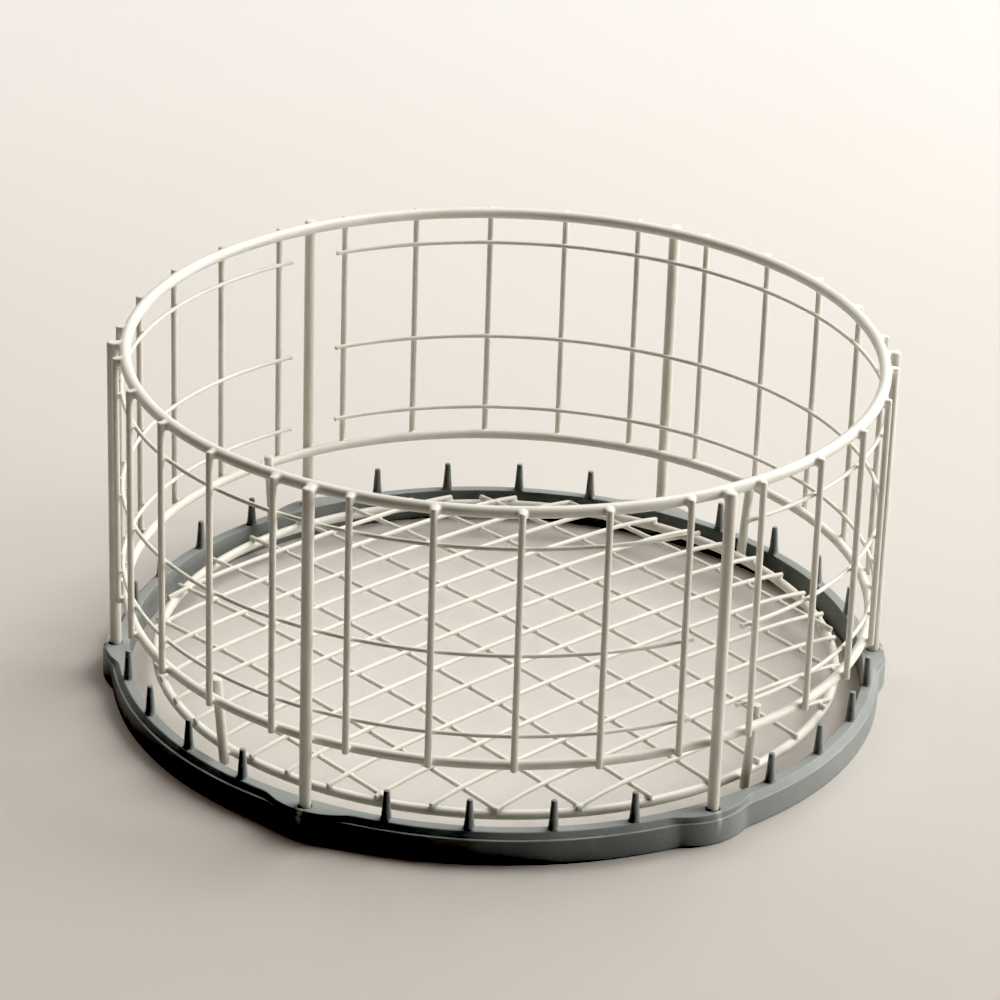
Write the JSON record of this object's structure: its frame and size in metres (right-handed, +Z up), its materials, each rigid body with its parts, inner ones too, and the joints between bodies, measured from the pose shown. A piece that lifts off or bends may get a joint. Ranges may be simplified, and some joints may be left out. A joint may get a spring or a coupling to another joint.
{
  "type": "round wire basket",
  "caption": "Round coated-wire basket with an open top, barred wall and crossed-wire floor, its posts plugged into a lobed plastic ring that carries upright pegs",
  "frame": {"origin": "centre of the moulded ring's underside, on the surface the basket stands on", "axes": "+Z up along the basket's axis; -Y is the front, midway between two of the ring's lobes"},
  "size_m": [0.41, 0.4, 0.187],
  "materials": {
    "ring_plastic": "satin moulded, mid grey",
    "coated_wire": "dipped plastic coating, off-white, semi-gloss"
  },
  "bodies": {
    "ring": {"base_ring": "ring_plastic"},
    "basket": {"top_ring": "coated_wire", "wall_bottom_ring": "coated_wire", "floor_ring": "coated_wire", "floor_grid": "coated_wire", "post_1": "coated_wire", "post_2": "coated_wire", "post_3": "coated_wire", "post_4": "coated_wire", "post_5": "coated_wire", "post_6": "coated_wire", "strut_1": "coated_wire", "strut_2": "coated_wire", "strut_3": "coated_wire", "strut_4": "coated_wire", "upright_01": "coated_wire", "upright_02": "coated_wire", "upright_03": "coated_wire", "upright_04": "coated_wire", "upright_05": "coated_wire", "upright_06": "coated_wire", "upright_07": "coated_wire", "upright_08": "coated_wire", "upright_09": "coated_wire", "upright_10": "coated_wire", "upright_11": "coated_wire", "upright_12": "coated_wire", "upright_13": "coated_wire", "upright_14": "coated_wire", "upright_15": "coated_wire", "upright_16": "coated_wire", "upright_17": "coated_wire", "upright_18": "coated_wire", "upright_19": "coated_wire", "upright_20": "coated_wire", "upright_21": "coated_wire", "upright_22": "coated_wire", "upright_23": "coated_wire", "upright_24": "coated_wire", "upright_25": "coated_wire", "upright_26": "coated_wire", "upright_27": "coated_wire", "upright_28": "coated_wire", "upright_29": "coated_wire", "upright_30": "coated_wire", "hoop_upper_back": "coated_wire", "hoop_upper_front": "coated_wire", "hoop_middle_back": "coated_wire", "hoop_middle_front": "coated_wire", "hoop_lower_back": "coated_wire", "hoop_lower_front": "coated_wire"}
  },
  "joints": [
    {"name": "basket_lift", "type": "slide", "parent": "ring", "child": "basket", "axis": [0, 0, 1], "range_m": [0, 0.06]}
  ]
}
